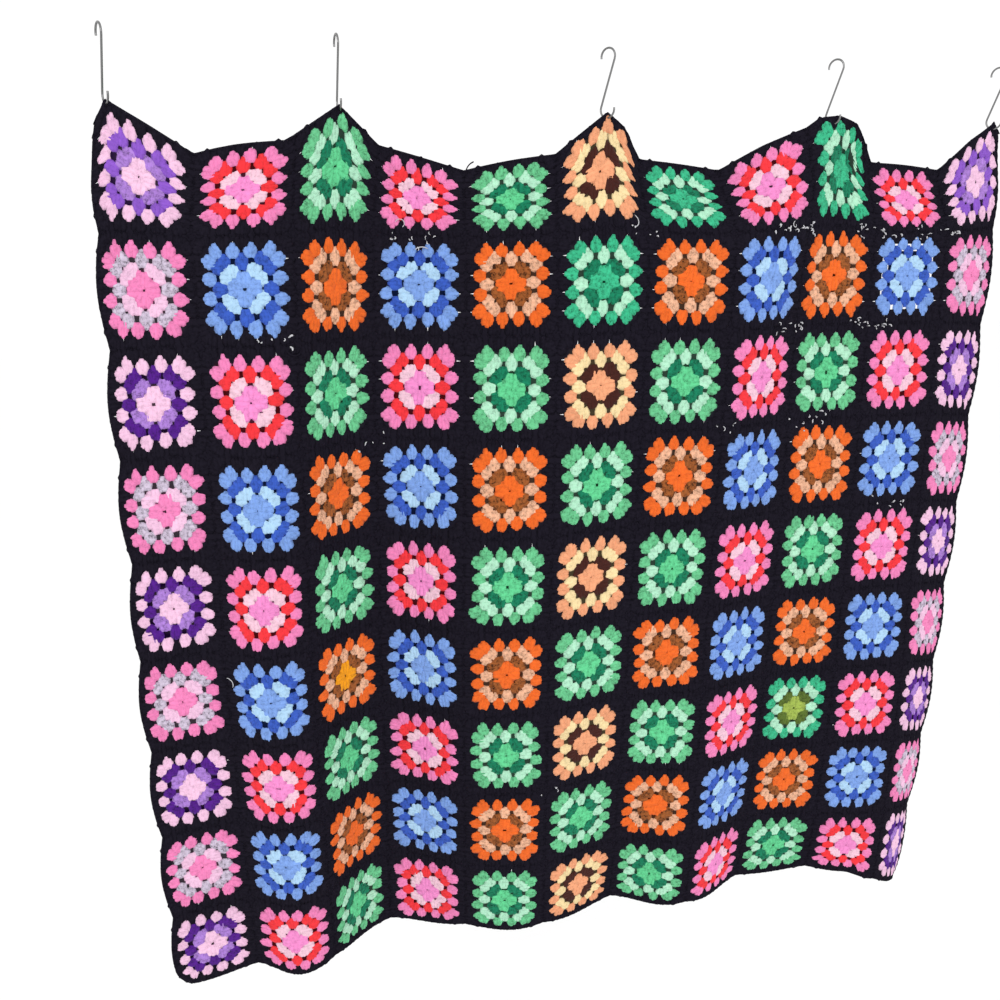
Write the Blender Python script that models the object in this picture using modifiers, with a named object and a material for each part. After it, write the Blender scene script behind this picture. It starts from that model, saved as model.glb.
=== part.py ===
"""Granny square blanket hung along its top edge from five wire S-hooks.

Blender 4.5, metres, +Z up. X runs along the blanket from its left to its right, Y from its front to
its back. The origin is the middle of the third hook's upper bend, where a rail would lie, and the
blanket hangs below it. Places on the cloth are given in squares: columns 0 to 11 from the left edge,
rows 0 to 9 from the top edge down.
"""

from collections import namedtuple
from math import cos, pi, radians, sin

import bmesh
import bpy
import numpy as np
from mathutils import Matrix, Vector

# The cloth: 11 by 9 crocheted squares joined edge to edge.
SQUARE = 0.125  # side of one square
COLUMNS = 11
ROWS = 9
THICKNESS = 0.004  # of the crocheted yarn
DRAWN_IN = 0.95  # share of its flat width that the cloth keeps as it hangs
LET_DOWN = 0.048  # length that its own weight adds by the hem
TRIM = 0.005  # a free edge lacks the joining round, so it is this much narrower
NOTCH = 0.008  # how far a free edge draws in at each join between two squares
TOP_NOTCH = 0.002  # the same along the top edge, which the hooks pull straight
NOTCH_DEPTH = 0.3  # how far in from the edge the notch reaches, in squares
ROUNDED_TOP = 0.004  # how far in the top left corner is drawn, both ways, as it rounds off
ROUNDED_HEM = 0.005  # the same at the hem's left corner
CELLS = 4  # mesh cells along the side of a square
FINE = 50  # points along the side of a square where the hang is worked out

# The wire hooks: an S of two equal bends joined by a straight slanting shank.
WIRE = 0.0026  # diameter
BEND = 0.010  # radius of each bend, to the middle of the wire
BENDS_APART = 0.061  # from the middle of the upper bend down to the middle of the lower one
TIP_RISE = 10  # degrees that each bend runs on past its half circle
BEND_STEPS = 14  # straight lengths in each bend
HOLE = 0.0072  # hole in the cloth for the wire
HOLE_SIDES = 13  # odd, so that no corner of a hole lands on the sheet's own edges
HOLE_BELOW_EDGE = 0.0035  # middle of the hole, under the top edge

# column: where the hook goes through the cloth, in squares; x: its place along the rail;
# turn: degrees that its lower tip points to the right of straight ahead.
Hook = namedtuple("Hook", "name column x turn")
HOOKS = (
    Hook("hook_1", 0.18, -0.585, 20),
    Hook("hook_2", 2.54, -0.334, 5),
    Hook("hook_3", 5.58, 0.000, 33),
    Hook("hook_4", 8.32, 0.328, 33),
    Hook("hook_5", 10.88, 0.595, 33),
)

# How far the top edge hangs below its hooks: at each hook, and at the joins between squares where it
# bends. It runs straight from one to the next.
Edge = namedtuple("Edge", "column drop")
TOP_EDGE = (
    Edge(0.00, 0.014),
    Edge(0.18, -0.003),
    Edge(1.00, 0.053),
    Edge(1.90, 0.039),
    Edge(2.54, -0.003),
    Edge(3.00, 0.036),
    Edge(4.00, 0.062),
    Edge(5.00, 0.044),
    Edge(5.58, -0.004),
    Edge(5.80, 0.012),
    Edge(6.00, 0.048),
    Edge(7.00, 0.060),
    Edge(7.50, 0.031),
    Edge(8.00, 0.006),
    Edge(8.16, -0.006),
    Edge(8.40, -0.008),
    Edge(8.64, 0.002),
    Edge(9.00, 0.048),
    Edge(10.00, 0.058),
    Edge(10.45, 0.020),
    Edge(10.88, -0.006),
    Edge(11.00, 0.004),
)
SAG_ROWS = 0.75  # how far down the edge's own shape can be seen, in squares

# How far the hem curls down past its own line, and up where it is negative, at these columns.
HEM_EDGE = (
    Edge(0.00, 0.000),
    Edge(2.00, 0.002),
    Edge(3.00, 0.011),
    Edge(4.00, 0.001),
    Edge(6.00, -0.004),
    Edge(8.00, -0.002),
    Edge(9.00, -0.015),
    Edge(9.50, -0.016),
    Edge(10.00, 0.010),
    Edge(11.00, 0.026),
)
HEM_ROWS = 0.5  # how far up from the hem its curl can be seen, in squares

PULL_ROWS = 0.7  # how far down the hooks set the cloth's place, in squares
HEM_DRIFT = -0.028  # sideways drift of the lower rows
DRIFT_ROWS = 5.0  # rows over which it comes in

# The folds, from left to right: each is a crest towards the front (negative) or a valley towards the
# back (positive). It starts at column_top and settles at column_low, and lies this far out of the
# hooks' plane at the top edge and at rows 1.5, 4.5 and 9 (top, upper, middle, hem). low: how much
# further down the hem hangs along it.
FOLD_ROWS = (0.0, 1.5, 4.5, 9.0)
FOLD_SETTLES = 1.0  # rows
Fold = namedtuple("Fold", "name column_top column_low top upper middle hem low")
FOLDS = (
    Fold("left edge", 0.0, 0.0, 0.015, 0.030, 0.035, 0.040, 0.002),
    Fold("left valley", 0.9, 0.95, -0.020, 0.000, 0.010, 0.035, -0.014),
    Fold("left crest", 1.5, 1.60, -0.045, -0.028, -0.024, 0.005, -0.010),
    Fold("deep valley", 3.9, 3.0, 0.035, 0.046, 0.048, 0.088, -0.010),
    Fold("valley foot", 4.7, 4.1, 0.015, 0.030, -0.008, 0.038, 0.004),
    Fold("middle crest", 5.5, 5.0, 0.000, -0.006, -0.027, 0.003, 0.002),
    Fold("middle valley", 6.4, 6.0, 0.016, -0.025, -0.030, 0.018, -0.006),
    Fold("broad crest", 8.6, 7.0, -0.035, -0.036, -0.035, -0.026, -0.002),
    Fold("right valley", 9.2, 8.1, -0.012, -0.008, -0.019, 0.012, 0.000),
    Fold("right crest", 10.2, 9.9, -0.010, -0.014, -0.026, -0.040, 0.010),
    Fold("right edge", 11.0, 11.0, 0.007, 0.012, 0.010, 0.018, 0.050),
)

# name: (colour, roughness, metallic)
MATERIALS = {
    "black_wool": ((0.012, 0.012, 0.016, 1.0), 0.9, 0.0),
    "hook_steel": ((0.45, 0.44, 0.43, 1.0), 0.28, 1.0),
}


def through(places, knots, values):
    """A smooth curve through the knots that turns only at its crests and valleys: a cubic between
    each two knots, with the harmonic mean of the slopes on either side as its slope at a knot, or
    nought where those slopes have unlike signs."""
    steps = np.diff(knots)
    slopes = np.diff(values) / steps
    before, after = slopes[:-1], slopes[1:]
    alike = before * after > 0
    inner = np.where(alike, 2 * before * after / np.where(alike, before + after, 1.0), 0.0)
    tangents = np.concatenate((slopes[:1], inner, slopes[-1:]))
    i = np.clip(np.searchsorted(knots, places, side="right") - 1, 0, len(steps) - 1)
    t = (places - knots[i]) / steps[i]
    ends = values[i] * (1 + 2 * t) * (1 - t) ** 2 + values[i + 1] * t**2 * (3 - 2 * t)
    turns = tangents[i] * t * (1 - t) ** 2 - tangents[i + 1] * t**2 * (1 - t)
    return ends + turns * steps[i]


def fold_columns(rows):
    """The column of each fold at each row: it moves from its place at the top edge to its settled one."""
    settled = np.exp(-rows / FOLD_SETTLES)[:, None]
    tops = np.array([fold.column_top for fold in FOLDS])
    lows = np.array([fold.column_low for fold in FOLDS])
    return lows + (tops - lows) * settled


def fold_depths(columns, rows):
    """How far back the folds carry the cloth: at each row a smooth curve through the folds, whose
    depths themselves change smoothly from the top edge to the hem."""
    places = fold_columns(rows)
    levels = np.array(FOLD_ROWS)
    depths = [through(rows, levels, np.array(fold[3:7])) for fold in FOLDS]
    depths = np.array(depths).T
    return np.array([through(columns, places[j], depths[j]) for j in range(len(rows))])


def spread(columns, depths):
    """X at each column: each step across the cloth is as long as the drawn-in cloth, so a steep fold
    brings its columns closer together. The middle column stays over the middle of the rail."""
    width = DRAWN_IN * SQUARE * np.diff(columns)
    level = np.sqrt(np.maximum(width**2 - np.diff(depths, axis=1) ** 2, (0.2 * width) ** 2))
    x = np.concatenate((np.zeros((len(depths), 1)), np.cumsum(level, axis=1)), axis=1)
    return x - x[:, len(columns) // 2][:, None]


def drop(columns, rows):
    """How far down the cloth lies from the top edge's peaks: the rows' own length and stretch, the
    shapes of the top edge and the hem, which fade within a row, and the further drop along each fold,
    which grows towards the hem."""
    down = SQUARE * rows + LET_DOWN * (1 - (1 - rows / ROWS) ** 2)
    sag = np.interp(columns, [edge.column for edge in TOP_EDGE], [edge.drop for edge in TOP_EDGE])
    fade = np.exp(-((rows / SAG_ROWS) ** 2))
    curl = through(columns, *np.array(HEM_EDGE).T)
    near_hem = np.exp(-(((ROWS - rows) / HEM_ROWS) ** 2))
    settled = np.array([fold.column_low for fold in FOLDS])
    low = through(columns, settled, np.array([fold.low for fold in FOLDS]))
    edges = fade[:, None] * sag + near_hem[:, None] * curl
    return down[:, None] + edges + (rows / ROWS)[:, None] * low


def notches(columns, rows):
    """How far each free edge draws in between two squares and at the hem's corners, from nothing
    halfway along a square, and how the two left corners round off: X and Z offsets."""
    across = 1 - np.abs(np.sin(pi * columns))
    along = np.where(rows < 0.5, 0.0, 1 - np.abs(np.sin(pi * rows)))[:, None]
    near_left = np.clip(1 - columns / NOTCH_DEPTH, 0, 1)
    near_right = np.clip(1 - (COLUMNS - columns) / NOTCH_DEPTH, 0, 1)
    near_top = np.clip(1 - rows / NOTCH_DEPTH, 0, 1)[:, None]
    near_hem = np.clip(1 - (ROWS - rows) / NOTCH_DEPTH, 0, 1)[:, None]
    x = (TRIM + NOTCH * along) * (near_left - near_right)
    z = (TRIM + NOTCH * across) * near_hem - TOP_NOTCH * across * near_top
    top_corner = ROUNDED_TOP * near_top**2 * near_left**2
    hem_corner = ROUNDED_HEM * near_hem**2 * near_left**2
    return x + top_corner + hem_corner, z - top_corner + hem_corner


def hung_cloth():
    """The middle of the cloth at FINE points along each square, as rows by columns by X, Y and Z.
    Near the top the folds are drawn over to the hooks, by an amount that runs straight from hook to
    hook and fades downwards."""
    columns = np.linspace(0, COLUMNS, COLUMNS * FINE + 1)
    rows = np.linspace(0, ROWS, ROWS * FINE + 1)
    y = fold_depths(columns, rows)
    notch_x, notch_z = notches(columns, rows)
    x = spread(columns, y) + HEM_DRIFT * np.clip(rows / DRIFT_ROWS, 0, 1)[:, None] + notch_x
    held = [round(hook.column * FINE) for hook in HOOKS]
    fade = np.exp(-((rows / PULL_ROWS) ** 2))[:, None]
    pull_x = np.array([hook.x for hook in HOOKS]) - x[0, held]
    x = x + fade * np.interp(columns, columns[held], pull_x)
    y = y - fade * np.interp(columns, columns[held], y[0, held])
    z = -BENDS_APART - BEND + HOLE_BELOW_EDGE - drop(columns, rows)
    return np.stack((x, y, z + notch_z), axis=-1)


def material(name):
    colour, roughness, metallic = MATERIALS[name]
    made = bpy.data.materials.new(name)
    made.use_nodes = True
    shader = made.node_tree.nodes["Principled BSDF"]
    shader.inputs["Base Color"].default_value = colour
    shader.inputs["Roughness"].default_value = roughness
    shader.inputs["Metallic"].default_value = metallic
    made.diffuse_color = colour
    return made


def blanket(collection, hole_cutters):
    """The cloth as one sheet: a flat grid of the squares, cut where the corner hooks go, hung on its
    folds, given its thickness, and pierced for the wires."""
    mesh = bpy.data.meshes.new("blanket")
    grid = bmesh.new()
    middle = Matrix.Translation((COLUMNS / 2, ROWS / 2, 0))
    to_squares = middle @ Matrix.Diagonal((COLUMNS / 2, ROWS / 2, 1, 1))
    bmesh.ops.create_grid(
        grid, x_segments=COLUMNS * CELLS, y_segments=ROWS * CELLS, size=1, matrix=to_squares
    )
    for hook in HOOKS:
        everything = grid.verts[:] + grid.edges[:] + grid.faces[:]
        bmesh.ops.bisect_plane(grid, geom=everything, plane_co=(hook.column, 0, 0), plane_no=(1, 0, 0))
    hung = hung_cloth()
    for vert in grid.verts:
        vert.co = hung[round(vert.co.y * FINE), round(vert.co.x * FINE)]
    bmesh.ops.recalc_face_normals(grid, faces=grid.faces[:])
    grid.to_mesh(mesh)
    grid.free()
    mesh.shade_smooth()
    mesh.materials.append(material("black_wool"))
    cloth = bpy.data.objects.new("blanket", mesh)
    collection.objects.link(cloth)

    solidify = cloth.modifiers.new("Thickness", "SOLIDIFY")
    solidify.thickness = THICKNESS
    solidify.offset = 0
    for cutter in hole_cutters:
        cut = cloth.modifiers.new(cutter.name, "BOOLEAN")
        cut.operation = "DIFFERENCE"
        cut.object = cutter
    return cloth


def hole_cutter(hook, collection):
    """A short cylinder along the wire at the bottom of the hook's lower bend."""
    bpy.ops.mesh.primitive_cylinder_add(vertices=HOLE_SIDES, radius=HOLE / 2, depth=5 * THICKNESS)
    cutter = bpy.context.object
    cutter.name = hook.name + "_hole"
    cutter.location = (hook.x, 0, -BENDS_APART - BEND)
    cutter.rotation_euler = (pi / 2, 0, radians(hook.turn))
    cutter.display_type = "WIRE"
    cutter.hide_render = True
    for owner in cutter.users_collection:
        owner.objects.unlink(cutter)
    collection.objects.link(cutter)
    return cutter


def bend(middle_z, start, end):
    """Points along a bend in the hook's own plane: (forwards, up), from one angle to the other."""
    angles = [radians(start + (end - start) * k / BEND_STEPS) for k in range(BEND_STEPS + 1)]
    return [(BEND * cos(angle), middle_z + BEND * sin(angle)) for angle in angles]


def wire_hook(hook, steel, collection):
    """An S-hook: from the front tip round under the lower bend, straight up the slanting shank, which
    touches both bends, and over the upper bend to the back tip."""
    slant = np.degrees(np.arcsin(2 * BEND / BENDS_APART))
    lower = bend(-BENDS_APART, TIP_RISE, -180 - slant)
    upper = bend(0, -slant, 180 + TIP_RISE)
    forwards = Vector((sin(radians(hook.turn)), -cos(radians(hook.turn)), 0))

    curve = bpy.data.curves.new(hook.name, "CURVE")
    curve.dimensions = "3D"
    curve.bevel_depth = WIRE / 2
    curve.bevel_resolution = 2
    curve.use_fill_caps = True
    points = lower + upper
    spline = curve.splines.new("POLY")
    spline.points.add(len(points) - 1)
    for place, (ahead, up) in zip(spline.points, points):
        place.co = (*(ahead * forwards + Vector((0, 0, up))), 1)
    curve.materials.append(steel)
    made = bpy.data.objects.new(hook.name, curve)
    made.location = (hook.x, 0, 0)
    collection.objects.link(made)
    return made


def main():
    for obj in list(bpy.data.objects):
        bpy.data.objects.remove(obj)
    scene = bpy.context.scene.collection
    pieces = bpy.data.collections.new("granny_square_blanket")
    cutters = bpy.data.collections.new("cutters")
    scene.children.link(pieces)
    scene.children.link(cutters)
    blanket(pieces, [hole_cutter(hook, cutters) for hook in HOOKS])
    steel = material("hook_steel")
    for hook in HOOKS:
        wire_hook(hook, steel, pieces)


main()
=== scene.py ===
"""Granny square blanket hung by its top edge from five wire S-hooks.

Metres, +Z up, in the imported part's own frame: X along the blanket from its left to its right, Y from
its front to its back. Every stitch is laid out flat first, in squares: columns 0 to 11 from the left
edge, rows 0 to 9 from the top edge down. Then it is carried onto the hung cloth's folds.
"""

from collections import namedtuple
from math import cos, pi, radians, sin

import bpy
import numpy as np
from mathutils import Matrix, Vector


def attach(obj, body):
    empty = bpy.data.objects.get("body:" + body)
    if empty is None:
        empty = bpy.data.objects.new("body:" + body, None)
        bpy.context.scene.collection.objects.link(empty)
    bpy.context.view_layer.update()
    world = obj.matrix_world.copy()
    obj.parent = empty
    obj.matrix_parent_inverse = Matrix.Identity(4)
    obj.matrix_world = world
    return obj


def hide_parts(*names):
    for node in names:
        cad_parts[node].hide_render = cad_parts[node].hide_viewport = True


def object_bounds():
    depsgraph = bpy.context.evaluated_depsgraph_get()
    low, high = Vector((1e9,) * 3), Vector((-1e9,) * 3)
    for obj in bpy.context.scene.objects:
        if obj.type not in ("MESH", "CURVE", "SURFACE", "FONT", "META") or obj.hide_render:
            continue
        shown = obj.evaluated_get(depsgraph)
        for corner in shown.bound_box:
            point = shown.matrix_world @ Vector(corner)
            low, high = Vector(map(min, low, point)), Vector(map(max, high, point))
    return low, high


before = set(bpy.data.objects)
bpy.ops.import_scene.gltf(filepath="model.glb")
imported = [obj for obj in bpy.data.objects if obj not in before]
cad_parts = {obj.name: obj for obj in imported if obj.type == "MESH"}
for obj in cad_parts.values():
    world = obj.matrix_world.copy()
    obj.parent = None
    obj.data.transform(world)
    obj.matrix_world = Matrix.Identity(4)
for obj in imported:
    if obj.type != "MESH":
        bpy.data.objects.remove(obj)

cad_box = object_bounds()

# ---------------------------------------------------------------- the hung cloth

SQUARE = 0.125  # side of one square
COLUMNS = 11
ROWS = 9
DRAWN_IN = 0.95  # share of its flat width that the cloth keeps as it hangs
LET_DOWN = 0.048  # length that its own weight adds by the hem
TRIM = 0.005  # a free edge lacks the joining round, so it is this much narrower
NOTCH = 0.008  # how far a free edge draws in at each join between two squares
TOP_NOTCH = 0.002  # the same along the top edge, which the hooks pull straight
NOTCH_DEPTH = 0.3  # how far in from the edge the notch reaches, in squares
ROUNDED_TOP = 0.004  # how far in the top left corner is drawn, both ways, as it rounds off
ROUNDED_HEM = 0.005  # the same at the hem's left corner
FINE = 50  # points along the side of a square where the hang is worked out
BEND = 0.010  # radius of a hook's bends
BENDS_APART = 0.061  # from the middle of a hook's upper bend down to that of its lower one
HOLE_BELOW_EDGE = 0.0035  # where the wire goes through, under the top edge

# column: where the hook goes through the cloth, in squares; x: its place along the rail.
Hook = namedtuple("Hook", "name column x")
HOOKS = (
    Hook("hook_1", 0.18, -0.585),
    Hook("hook_2", 2.54, -0.334),
    Hook("hook_3", 5.58, 0.000),
    Hook("hook_4", 8.32, 0.328),
    Hook("hook_5", 10.88, 0.595),
)

# How far the top edge hangs below its hooks: at each hook, and at the joins between squares where it
# bends. It runs straight from one to the next.
Edge = namedtuple("Edge", "column drop")
TOP_EDGE = (
    Edge(0.00, 0.014),
    Edge(0.18, -0.003),
    Edge(1.00, 0.053),
    Edge(1.90, 0.039),
    Edge(2.54, -0.003),
    Edge(3.00, 0.036),
    Edge(4.00, 0.062),
    Edge(5.00, 0.044),
    Edge(5.58, -0.004),
    Edge(5.80, 0.012),
    Edge(6.00, 0.048),
    Edge(7.00, 0.060),
    Edge(7.50, 0.031),
    Edge(8.00, 0.006),
    Edge(8.16, -0.006),
    Edge(8.40, -0.008),
    Edge(8.64, 0.002),
    Edge(9.00, 0.048),
    Edge(10.00, 0.058),
    Edge(10.45, 0.020),
    Edge(10.88, -0.006),
    Edge(11.00, 0.004),
)
SAG_ROWS = 0.75  # how far down the edge's own shape can be seen, in squares

# How far the hem curls down past its own line, and up where it is negative, at these columns.
HEM_EDGE = (
    Edge(0.00, 0.000),
    Edge(2.00, 0.002),
    Edge(3.00, 0.011),
    Edge(4.00, 0.001),
    Edge(6.00, -0.004),
    Edge(8.00, -0.002),
    Edge(9.00, -0.015),
    Edge(9.50, -0.016),
    Edge(10.00, 0.010),
    Edge(11.00, 0.026),
)
HEM_ROWS = 0.5  # how far up from the hem its curl can be seen, in squares

PULL_ROWS = 0.7  # how far down the hooks set the cloth's place, in squares
HEM_DRIFT = -0.028  # sideways drift of the lower rows
DRIFT_ROWS = 5.0  # rows over which it comes in

# The folds, from left to right: each is a crest towards the front (negative) or a valley towards the
# back (positive). It starts at column_top and settles at column_low, and lies this far out of the
# hooks' plane at the top edge and at rows 1.5, 4.5 and 9 (top, upper, middle, hem). low: how much
# further down the hem hangs along it.
FOLD_ROWS = (0.0, 1.5, 4.5, 9.0)
FOLD_SETTLES = 1.0  # rows
Fold = namedtuple("Fold", "name column_top column_low top upper middle hem low")
FOLDS = (
    Fold("left edge", 0.0, 0.0, 0.015, 0.030, 0.035, 0.040, 0.002),
    Fold("left valley", 0.9, 0.95, -0.020, 0.000, 0.010, 0.035, -0.014),
    Fold("left crest", 1.5, 1.60, -0.045, -0.028, -0.024, 0.005, -0.010),
    Fold("deep valley", 3.9, 3.0, 0.035, 0.046, 0.048, 0.088, -0.010),
    Fold("valley foot", 4.7, 4.1, 0.015, 0.030, -0.008, 0.038, 0.004),
    Fold("middle crest", 5.5, 5.0, 0.000, -0.006, -0.027, 0.003, 0.002),
    Fold("middle valley", 6.4, 6.0, 0.016, -0.025, -0.030, 0.018, -0.006),
    Fold("broad crest", 8.6, 7.0, -0.035, -0.036, -0.035, -0.026, -0.002),
    Fold("right valley", 9.2, 8.1, -0.012, -0.008, -0.019, 0.012, 0.000),
    Fold("right crest", 10.2, 9.9, -0.010, -0.014, -0.026, -0.040, 0.010),
    Fold("right edge", 11.0, 11.0, 0.007, 0.012, 0.010, 0.018, 0.050),
)


def through(places, knots, values):
    """A smooth curve through the knots that turns only at its crests and valleys: a cubic between
    each two knots, with the harmonic mean of the slopes on either side as its slope at a knot, or
    nought where those slopes have unlike signs."""
    steps = np.diff(knots)
    slopes = np.diff(values) / steps
    before, after = slopes[:-1], slopes[1:]
    alike = before * after > 0
    inner = np.where(alike, 2 * before * after / np.where(alike, before + after, 1.0), 0.0)
    tangents = np.concatenate((slopes[:1], inner, slopes[-1:]))
    i = np.clip(np.searchsorted(knots, places, side="right") - 1, 0, len(steps) - 1)
    t = (places - knots[i]) / steps[i]
    ends = values[i] * (1 + 2 * t) * (1 - t) ** 2 + values[i + 1] * t**2 * (3 - 2 * t)
    turns = tangents[i] * t * (1 - t) ** 2 - tangents[i + 1] * t**2 * (1 - t)
    return ends + turns * steps[i]


def fold_columns(rows):
    """The column of each fold at each row: it moves from its place at the top edge to its settled one."""
    settled = np.exp(-rows / FOLD_SETTLES)[:, None]
    tops = np.array([fold.column_top for fold in FOLDS])
    lows = np.array([fold.column_low for fold in FOLDS])
    return lows + (tops - lows) * settled


def fold_depths(columns, rows):
    """How far back the folds carry the cloth: at each row a smooth curve through the folds, whose
    depths themselves change smoothly from the top edge to the hem."""
    places = fold_columns(rows)
    levels = np.array(FOLD_ROWS)
    depths = [through(rows, levels, np.array(fold[3:7])) for fold in FOLDS]
    depths = np.array(depths).T
    return np.array([through(columns, places[j], depths[j]) for j in range(len(rows))])


def spread(columns, depths):
    """X at each column: each step across the cloth is as long as the drawn-in cloth, so a steep fold
    brings its columns closer together. The middle column stays over the middle of the rail."""
    width = DRAWN_IN * SQUARE * np.diff(columns)
    level = np.sqrt(np.maximum(width**2 - np.diff(depths, axis=1) ** 2, (0.2 * width) ** 2))
    x = np.concatenate((np.zeros((len(depths), 1)), np.cumsum(level, axis=1)), axis=1)
    return x - x[:, len(columns) // 2][:, None]


def drop(columns, rows):
    """How far down the cloth lies from the top edge's peaks: the rows' own length and stretch, the
    shapes of the top edge and the hem, which fade within a row, and the further drop along each fold,
    which grows towards the hem."""
    down = SQUARE * rows + LET_DOWN * (1 - (1 - rows / ROWS) ** 2)
    sag = np.interp(columns, [edge.column for edge in TOP_EDGE], [edge.drop for edge in TOP_EDGE])
    fade = np.exp(-((rows / SAG_ROWS) ** 2))
    curl = through(columns, *np.array(HEM_EDGE).T)
    near_hem = np.exp(-(((ROWS - rows) / HEM_ROWS) ** 2))
    settled = np.array([fold.column_low for fold in FOLDS])
    low = through(columns, settled, np.array([fold.low for fold in FOLDS]))
    edges = fade[:, None] * sag + near_hem[:, None] * curl
    return down[:, None] + edges + (rows / ROWS)[:, None] * low


def notches(columns, rows):
    """How far each free edge draws in between two squares and at the hem's corners, from nothing
    halfway along a square, and how the two left corners round off: X and Z offsets."""
    across = 1 - np.abs(np.sin(pi * columns))
    along = np.where(rows < 0.5, 0.0, 1 - np.abs(np.sin(pi * rows)))[:, None]
    near_left = np.clip(1 - columns / NOTCH_DEPTH, 0, 1)
    near_right = np.clip(1 - (COLUMNS - columns) / NOTCH_DEPTH, 0, 1)
    near_top = np.clip(1 - rows / NOTCH_DEPTH, 0, 1)[:, None]
    near_hem = np.clip(1 - (ROWS - rows) / NOTCH_DEPTH, 0, 1)[:, None]
    x = (TRIM + NOTCH * along) * (near_left - near_right)
    z = (TRIM + NOTCH * across) * near_hem - TOP_NOTCH * across * near_top
    top_corner = ROUNDED_TOP * near_top**2 * near_left**2
    hem_corner = ROUNDED_HEM * near_hem**2 * near_left**2
    return x + top_corner + hem_corner, z - top_corner + hem_corner


def hung_cloth():
    """The middle of the cloth at FINE points along each square, as rows by columns by X, Y and Z.
    Near the top the folds are drawn over to the hooks, by an amount that runs straight from hook to
    hook and fades downwards."""
    columns = np.linspace(0, COLUMNS, COLUMNS * FINE + 1)
    rows = np.linspace(0, ROWS, ROWS * FINE + 1)
    y = fold_depths(columns, rows)
    notch_x, notch_z = notches(columns, rows)
    x = spread(columns, y) + HEM_DRIFT * np.clip(rows / DRIFT_ROWS, 0, 1)[:, None] + notch_x
    held = [round(hook.column * FINE) for hook in HOOKS]
    fade = np.exp(-((rows / PULL_ROWS) ** 2))[:, None]
    pull_x = np.array([hook.x for hook in HOOKS]) - x[0, held]
    x = x + fade * np.interp(columns, columns[held], pull_x)
    y = y - fade * np.interp(columns, columns[held], y[0, held])
    z = -BENDS_APART - BEND + HOLE_BELOW_EDGE - drop(columns, rows)
    return np.stack((x, y, z + notch_z), axis=-1)


HUNG = hung_cloth()
FACING = np.cross(np.gradient(HUNG, axis=0), np.gradient(HUNG, axis=1))


def mixed(grid, columns, rows):
    """A worked-out grid read at any column and row, in straight lines between its four nearest points
    and on past its edges."""
    i = np.clip(np.floor(rows * FINE).astype(int), 0, ROWS * FINE - 1)
    j = np.clip(np.floor(columns * FINE).astype(int), 0, COLUMNS * FINE - 1)
    s = (rows * FINE - i)[..., None]
    t = (columns * FINE - j)[..., None]
    upper = grid[i, j] * (1 - t) + grid[i, j + 1] * t
    lower = grid[i + 1, j] * (1 - t) + grid[i + 1, j + 1] * t
    return upper * (1 - s) + lower * s


def place(columns, rows, lifts):
    """Points of the flat layout on the hung cloth: its middle, and from there the lift in metres
    straight out of it towards the front."""
    facing = mixed(FACING, columns, rows)
    facing = facing / np.linalg.norm(facing, axis=-1, keepdims=True)
    return mixed(HUNG, columns, rows) + facing * lifts[..., None]


# ---------------------------------------------------------------- yarn shades and squares

SHADES = {
    "black": (30, 27, 37),
    "pale_fluff": (214, 214, 218),
    "light_pink": (252, 204, 234),
    "pale_pink": (254, 208, 226),
    "hot_pink": (252, 140, 196),
    "orchid": (252, 148, 212),
    "red": (250, 58, 66),
    "lavender": (178, 132, 218),
    "purple": (86, 30, 140),
    "violet": (146, 92, 206),
    "grey": (206, 192, 212),
    "bright_green": (102, 214, 150),
    "mid_green": (112, 206, 148),
    "dark_green": (24, 130, 94),
    "emerald": (62, 192, 142),
    "mint": (184, 238, 206),
    "olive": (168, 192, 86),
    "dark_olive": (94, 116, 46),
    "peach": (250, 172, 128),
    "dark_brown": (72, 34, 28),
    "pale_yellow": (252, 226, 172),
    "periwinkle": (132, 170, 238),
    "light_blue": (184, 222, 252),
    "royal_blue": (60, 96, 196),
    "orange": (248, 112, 42),
    "golden": (255, 166, 26),
    "brown": (158, 90, 44),
    "beige": (240, 184, 150),
}
AS_SEEN = 0.86  # the studio's light brings a shade this share of its brightness back to it
# How flecked a shade's yarn is.
PLAIN = 0.15
HEATHERED = {
    "black": 0.45,
    "grey": 0.9,
    "brown": 1.3,
    "beige": 0.7,
    "lavender": 0.6,
    "purple": 0.6,
    "bright_green": 0.5,
    "mid_green": 0.6,
    "dark_green": 0.9,
    "mint": 0.3,
    "emerald": 0.7,
    "olive": 0.5,
    "dark_olive": 0.6,
    "royal_blue": 0.5,
    "periwinkle": 0.3,
}

# The four coloured rounds of each kind of square, from the middle out.
KINDS = {
    "purple": ("light_pink", "lavender", "purple", "light_pink"),
    "violet": ("light_pink", "lavender", "violet", "light_pink"),
    "red": ("orchid", "pale_pink", "red", "hot_pink"),
    "green": ("bright_green", "dark_green", "mint", "mid_green"),
    "emerald": ("emerald", "dark_green", "mint", "emerald"),
    "olive": ("olive", "dark_olive", "mint", "emerald"),
    "peach": ("peach", "dark_brown", "pale_yellow", "peach"),
    "grey": ("hot_pink", "light_pink", "grey", "hot_pink"),
    "blue": ("periwinkle", "light_blue", "royal_blue", "periwinkle"),
    "orange": ("orange", "brown", "beige", "orange"),
    "golden": ("golden", "brown", "beige", "orange"),
}
ODD_ROW = "purple red green red green peach green red green red purple".split()
EVEN_ROW = "grey blue orange blue orange green orange blue orange blue grey".split()
ODD_SQUARES = {
    (1, 1): "violet",
    (1, 11): "violet",
    (1, 7): "emerald",
    (1, 9): "emerald",
    (2, 6): "emerald",
    (7, 9): "olive",
    (6, 3): "golden",
}


def kind_of(row, column):
    """The kind of the square in this row and column, both counted from 1."""
    usual = (ODD_ROW if row % 2 else EVEN_ROW)[column - 1]
    return ODD_SQUARES.get((row, column), usual)


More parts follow.
